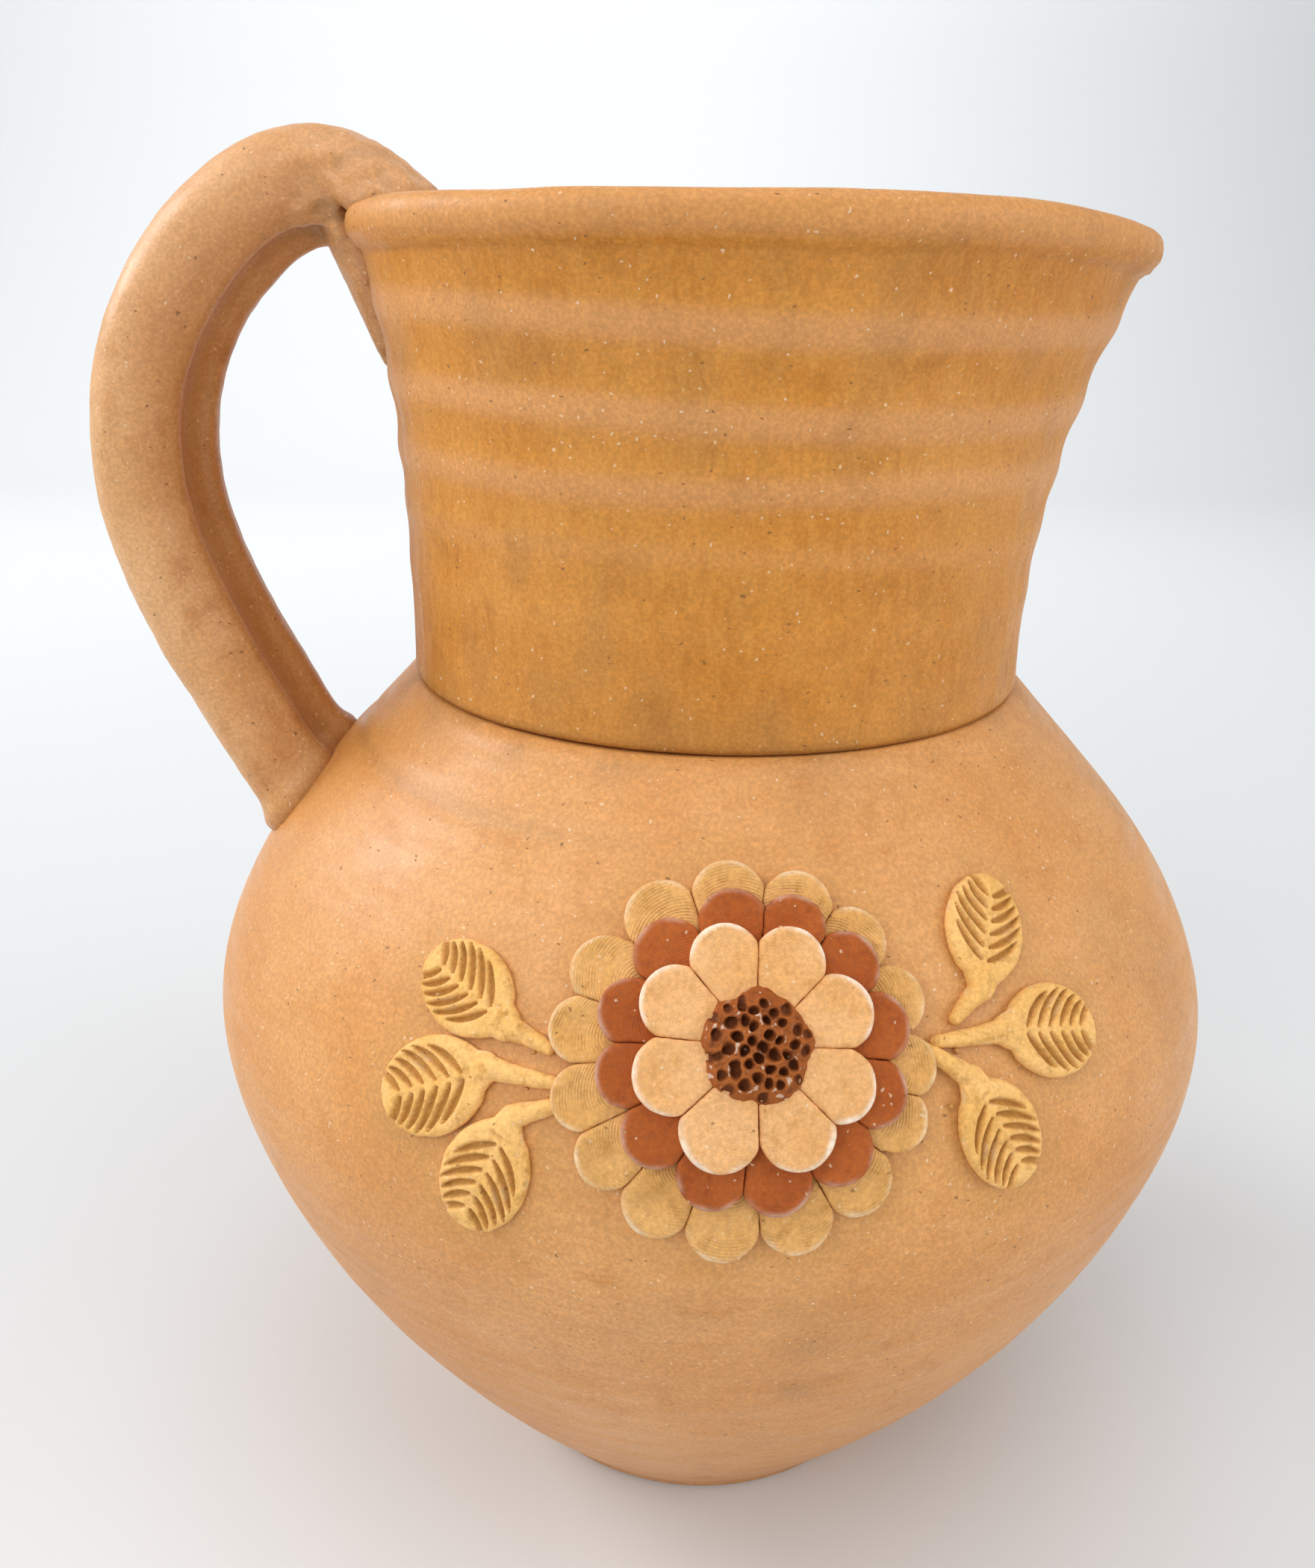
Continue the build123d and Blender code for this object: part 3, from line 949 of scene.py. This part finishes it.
def scrape_marks_group():
    """Long scrape and burnish marks, drawn out by the stretch of the coordinates."""
    group, source, sink = new_group(
        "scrape_marks",
        [("Vector", "NodeSocketVector")],
        [("Marks", "NodeSocketFloat"), ("Bands", "NodeSocketFloat")],
    )
    vector = source.outputs["Vector"]
    marks = stepped(group, noise_value(group, vector, 1.0, 3.0, 0.6), 0.36, 0.66)
    bands = noise_value(group, vector, 0.38, 3.0, 0.55)
    group.links.new(marks, sink.inputs["Marks"])
    group.links.new(bands, sink.inputs["Bands"])
    return group


grain_group = clay_grain_group()
mottle_group = fired_mottle_group()
scrape_group = scrape_marks_group()


def group_node(tree, group, vector, **colours):
    node = tree.nodes.new("ShaderNodeGroup")
    node.node_tree = group
    tree.links.new(vector, node.inputs["Vector"])
    for name, colour in colours.items():
        node.inputs[name].default_value = (*colour, 1.0)
    return node


def mask_named(tree, name):
    node = tree.nodes.new("ShaderNodeAttribute")
    node.attribute_name = name
    return node.outputs["Fac"]


def start_material(name):
    material = bpy.data.materials.new(name)
    material.use_nodes = True
    tree = material.node_tree
    shader = tree.nodes["Principled BSDF"]
    place = tree.nodes.new("ShaderNodeTexCoord").outputs["Object"]
    return material, tree, shader, place


def add_bump(tree, shader, height, distance, strength=1.0):
    bump = new_node(tree, "ShaderNodeBump", Strength=strength, Distance=distance)
    tree.links.new(height, bump.inputs["Height"])
    tree.links.new(bump.outputs["Normal"], shader.inputs["Normal"])


def speckled(tree, tooth, dark, bright):
    """Grey that the fine tooth of the clay darkens and brightens."""
    shade = tree.nodes.new("ShaderNodeCombineColor")
    amount = stepped(tree, tooth, 0.35, 0.7, dark, bright)
    for channel in range(3):
        tree.links.new(amount, shade.inputs[channel])
    return shade.outputs[0]


def terracotta(name, light, middle, deep, marks_stretch, mark_colour, mark_amount, rough, shine):
    """Burnished, unglazed pot wall."""
    material, tree, shader, place = start_material(name)
    shader.inputs["Specular IOR Level"].default_value = shine
    mottle = group_node(tree, mottle_group, place, Light=light, Middle=middle, Deep=deep)
    grain = group_node(tree, grain_group, place)
    scrape = group_node(tree, scrape_group, stretched(tree, place, marks_stretch))
    light_and_shade = mask_named(tree, "light_and_shade")
    colour = mottle.outputs["Colour"]
    marks = maths(tree, "MULTIPLY", scrape.outputs["Marks"], mark_amount)
    colour = blended(tree, marks, colour, mark_colour)
    # Painted light: high mask values get a painted highlight, low values get painted shade.
    painted_highlight = maths(tree, "MULTIPLY", stepped(tree, light_and_shade, 0.42, 0.95), 0.62)
    colour = blended(tree, painted_highlight, colour, painted_highlight_tone)
    painted_shade = maths(tree, "MULTIPLY", stepped(tree, light_and_shade, 0.42, 0.1), 0.30)
    colour = blended(tree, painted_shade, colour, painted_shade_tone)
    slip = maths(tree, "MULTIPLY", mask_named(tree, "slip"), stepped(tree, mottle.outputs["Cloud"], 0.3, 0.6, 0.25, 0.6))
    colour = blended(tree, slip, colour, slip_tone)
    # Darker for smudges, and painted shade in creases, grooves and on the inner side of the handle.
    smudge_and_shade = maths(tree, "MULTIPLY", mask_named(tree, "smudge_and_shade"), 0.62)
    colour = blended(tree, smudge_and_shade, colour, smudge_and_shade_tone)
    colour = blended(tree, 1.0, colour, speckled(tree, grain.outputs["Tooth"], 0.84, 1.10), "MULTIPLY")
    colour = blended(tree, maths(tree, "MULTIPLY", grain.outputs["Grit"], 0.6), colour, grit_tone)
    colour = blended(tree, maths(tree, "MULTIPLY", grain.outputs["Pits"], 0.7), colour, pit_tone)
    tree.links.new(colour, shader.inputs["Base Color"])
    polish = stepped(tree, scrape.outputs["Bands"], 0.3, 0.7, rough - 0.07, rough + 0.08)
    polish = maths(tree, "ADD", polish, maths(tree, "MULTIPLY", slip, 0.15))
    tree.links.new(polish, shader.inputs["Roughness"])
    height = maths(tree, "ADD", grain.outputs["Height"], maths(tree, "MULTIPLY", scrape.outputs["Bands"], 0.8))
    height = maths(tree, "ADD", height, maths(tree, "MULTIPLY", maths(tree, "MULTIPLY", slip, grain.outputs["Tooth"]), 2.0))
    add_bump(tree, shader, height, 0.16 * MM, 0.75)
    return material


def pressed_clay(name, light, middle, deep, bloom, print_depth):
    """Fine clay of the applied pads, with fingerprint ridges and a rubbed rim."""
    material, tree, shader, place = start_material(name)
    shader.inputs["Specular IOR Level"].default_value = 0.25
    mottle = group_node(tree, mottle_group, stretched(tree, place, (4.0, 4.0, 4.0)), Light=light, Middle=middle, Deep=deep)
    grain = group_node(tree, grain_group, place)
    colour = mottle.outputs["Colour"]
    rub = stepped(tree, mask_named(tree, "rub"), 0.02, 0.75, 0.0, 0.85)
    colour = blended(tree, rub, colour, bloom)
    # Painted shade: cut and poked holes darken towards the deep tone.
    hole = maths(tree, "MULTIPLY", mask_named(tree, "hole"), 0.75)
    colour = blended(tree, hole, colour, deep)
    colour = blended(tree, 1.0, colour, speckled(tree, grain.outputs["Tooth"], 0.86, 1.10), "MULTIPLY")
    colour = blended(tree, maths(tree, "MULTIPLY", grain.outputs["Grit"], 0.5), colour, grit_tone)
    colour = blended(tree, maths(tree, "MULTIPLY", grain.outputs["Pits"], 0.6), colour, pit_tone)
    tree.links.new(colour, shader.inputs["Base Color"])
    rough = stepped(tree, grain.outputs["Tooth"], 0.3, 0.7, 0.72, 0.9)
    tree.links.new(rough, shader.inputs["Roughness"])
    press = new_node(tree, "ShaderNodeUVMap", uv_map="press")
    ridges = new_node(tree, "ShaderNodeTexWave", Scale=0.683, Distortion=1.6, Detail=1.5)
    ridges.inputs["Detail Scale"].default_value = 0.6
    ridges.wave_type = "RINGS"
    ridges.rings_direction = "SPHERICAL"
    tree.links.new(press.outputs["UV"], ridges.inputs["Vector"])
    patchy = stepped(tree, noise_value(tree, place, 260.0, 2.0), 0.35, 0.6)
    prints = maths(tree, "MULTIPLY", maths(tree, "MULTIPLY", ridges.outputs["Fac"], patchy), print_depth)
    height = maths(tree, "ADD", maths(tree, "MULTIPLY", grain.outputs["Height"], 0.8), prints)
    add_bump(tree, shader, height, 0.14 * MM, 0.8)
    return material


# Painted light tones: the first is a painted highlight, the second is painted shade.
painted_highlight_tone = (0.68, 0.33, 0.13)
painted_shade_tone = (0.46, 0.16, 0.012)
slip_tone = (0.62, 0.31, 0.085)
# Dark tone for smudges and for painted shade.
smudge_and_shade_tone = (0.24, 0.14, 0.055)
grit_tone = (0.86, 0.66, 0.44)
pit_tone = (0.20, 0.09, 0.03)


def make_materials():
    return {
        "body": terracotta("terracotta_body", (0.71, 0.345, 0.115), (0.64, 0.275, 0.068), (0.55, 0.215, 0.040),
                           (120.0, 120.0, 900.0), (0.61, 0.25, 0.055), 0.35, 0.42, 0.45),
        "collar": terracotta("terracotta_collar", (0.62, 0.26, 0.045), (0.54, 0.20, 0.020), (0.42, 0.155, 0.014),
                             (560.0, 560.0, 170.0), (0.67, 0.30, 0.055), 0.46, 0.46, 0.30),
        "handle": terracotta("terracotta_handle", (0.72, 0.40, 0.175), (0.59, 0.27, 0.08), (0.46, 0.17, 0.03),
                             (300.0, 500.0, 110.0), (0.64, 0.32, 0.11), 0.40, 0.44, 0.5),
        "buff": pressed_clay("buff_clay_pads", (0.74, 0.40, 0.135), (0.67, 0.345, 0.10), (0.50, 0.235, 0.05),
                             (0.84, 0.64, 0.42), 0.9),
        "buff_inner": pressed_clay("buff_clay_inner_pads", (0.79, 0.435, 0.19), (0.73, 0.375, 0.135),
                                   (0.58, 0.28, 0.075), (0.90, 0.76, 0.62), 0.25),
        "leaf": pressed_clay("buff_clay_leaves", (0.86, 0.50, 0.175), (0.78, 0.43, 0.12), (0.44, 0.20, 0.036),
                             (0.82, 0.60, 0.36), 0.1),
        "red": pressed_clay("red_clay_pads", (0.41, 0.10, 0.018), (0.35, 0.077, 0.012), (0.27, 0.055, 0.009),
                            (0.58, 0.36, 0.25), 0.25),
        "seed": pressed_clay("red_clay_centre", (0.36, 0.10, 0.018), (0.30, 0.075, 0.012), (0.07, 0.014, 0.003),
                             (0.66, 0.46, 0.34), 0.0),
    }


# ---- studio ----
def make_sweep():
    """Pale paper sweep: floor, soft bend and wall in one sheet."""
    bend, back, front, tall, half = 0.6, 1.9, -2.2, 2.6, 3.2
    outline = [(front, 0.0), (0.0, 0.0)]
    steps = 14
    for step in range(steps + 1):
        turn = 0.5 * pi * step / steps
        outline.append((back - bend + bend * sin(turn), bend - bend * cos(turn)))
    outline.append((back, tall))
    points = [(x, y, z) for y, z in outline for x in (-half, half)]
    faces = [(2 * i, 2 * i + 1, 2 * i + 3, 2 * i + 2) for i in range(len(outline) - 1)]
    mesh = bpy.data.meshes.new("paper_sweep")
    mesh.from_pydata(points, [], faces)
    sweep = bpy.data.objects.new("paper_sweep", mesh)
    bpy.context.scene.collection.objects.link(sweep)
    smooth_shading(sweep)
    material = bpy.data.materials.new("pale_paper")
    material.use_nodes = True
    shader = material.node_tree.nodes["Principled BSDF"]
    shader.inputs["Base Color"].default_value = (0.665, 0.67, 0.675, 1)
    shader.inputs["Roughness"].default_value = 0.85
    mesh.materials.append(material)


def add_area_light(name, place, target, size, power, colour):
    data = bpy.data.lights.new(name, "AREA")
    data.shape = "DISK"
    data.size = size
    data.energy = power
    data.color = colour
    lamp = bpy.data.objects.new(name, data)
    lamp.location = place
    lamp.rotation_euler = (Vector(target) - Vector(place)).to_track_quat("-Z", "Y").to_euler()
    bpy.context.scene.collection.objects.link(lamp)


def light_studio():
    world = bpy.data.worlds.new("studio_air")
    bpy.context.scene.world = world
    world.use_nodes = True
    air = world.node_tree.nodes["Background"]
    air.inputs["Color"].default_value = (0.93, 0.97, 1.0, 1)
    air.inputs["Strength"].default_value = 0.56
    add_area_light("window_left", (-1.75, 0.50, 1.15), (0, 0, 0.14), 1.0, 21.0, (0.98, 0.99, 1.0))
    add_area_light("front_left", (-0.70, -0.75, 0.80), (0, 0, 0.14), 0.8, 5.5, (1.0, 0.99, 0.98))
    add_area_light("ceiling", (0.1, -0.2, 1.5), (0, 0, 0.1), 1.2, 6.0, (1.0, 1.0, 1.0))
    add_area_light("window_right", (0.95, -0.45, 0.50), (0, 0, 0.16), 0.8, 4.5, (1.0, 0.98, 0.95))
    add_area_light("backdrop_lift", (0.0, 0.9, 1.3), (0, 1.9, 0.7), 1.2, 12.0, (0.96, 0.99, 1.0))


def place_camera():
    data = bpy.data.cameras.new("camera")
    data.sensor_width = 36
    data.sensor_fit = "VERTICAL"
    data.sensor_height = 36
    data.lens = 30.27
    data.shift_y = -0.0571
    camera = bpy.data.objects.new("camera", data)
    camera.location = (-0.02052, -0.24825, 0.22842)
    camera.rotation_euler = (radians(73.048), radians(-0.918), radians(-1.966))
    bpy.context.scene.collection.objects.link(camera)
    bpy.context.scene.camera = camera


# ---- make everything ----
body = make_body()
collar = make_collar()
handle = make_handle()
outer_pads = [make_petal(name, 0.55 * MM, 0.15 * MM, 0.7) for name in outer_petals]
middle_pads = [make_petal(name, 0.10 * MM, 0.10 * MM, 0.8) for name in middle_petals]
inner_pads = [make_petal(name, 0.15 * MM, 0.20 * MM, 1.0) for name in inner_petals]
centre = make_flower_centre()
leaf_pads = make_leaves()
crumbs = make_crumbs()

materials = make_materials()
wearing = [
    ("body", [body, crumbs]),
    ("collar", [collar]),
    ("handle", [handle]),
    ("buff", outer_pads),
    ("red", middle_pads),
    ("buff_inner", inner_pads),
    ("seed", [centre]),
    ("leaf", leaf_pads),
]
for look, pieces in wearing:
    for piece in pieces:
        piece.data.materials.append(materials[look])

make_sweep()
light_studio()
place_camera()
bpy.context.scene.view_settings.view_transform = "Standard"
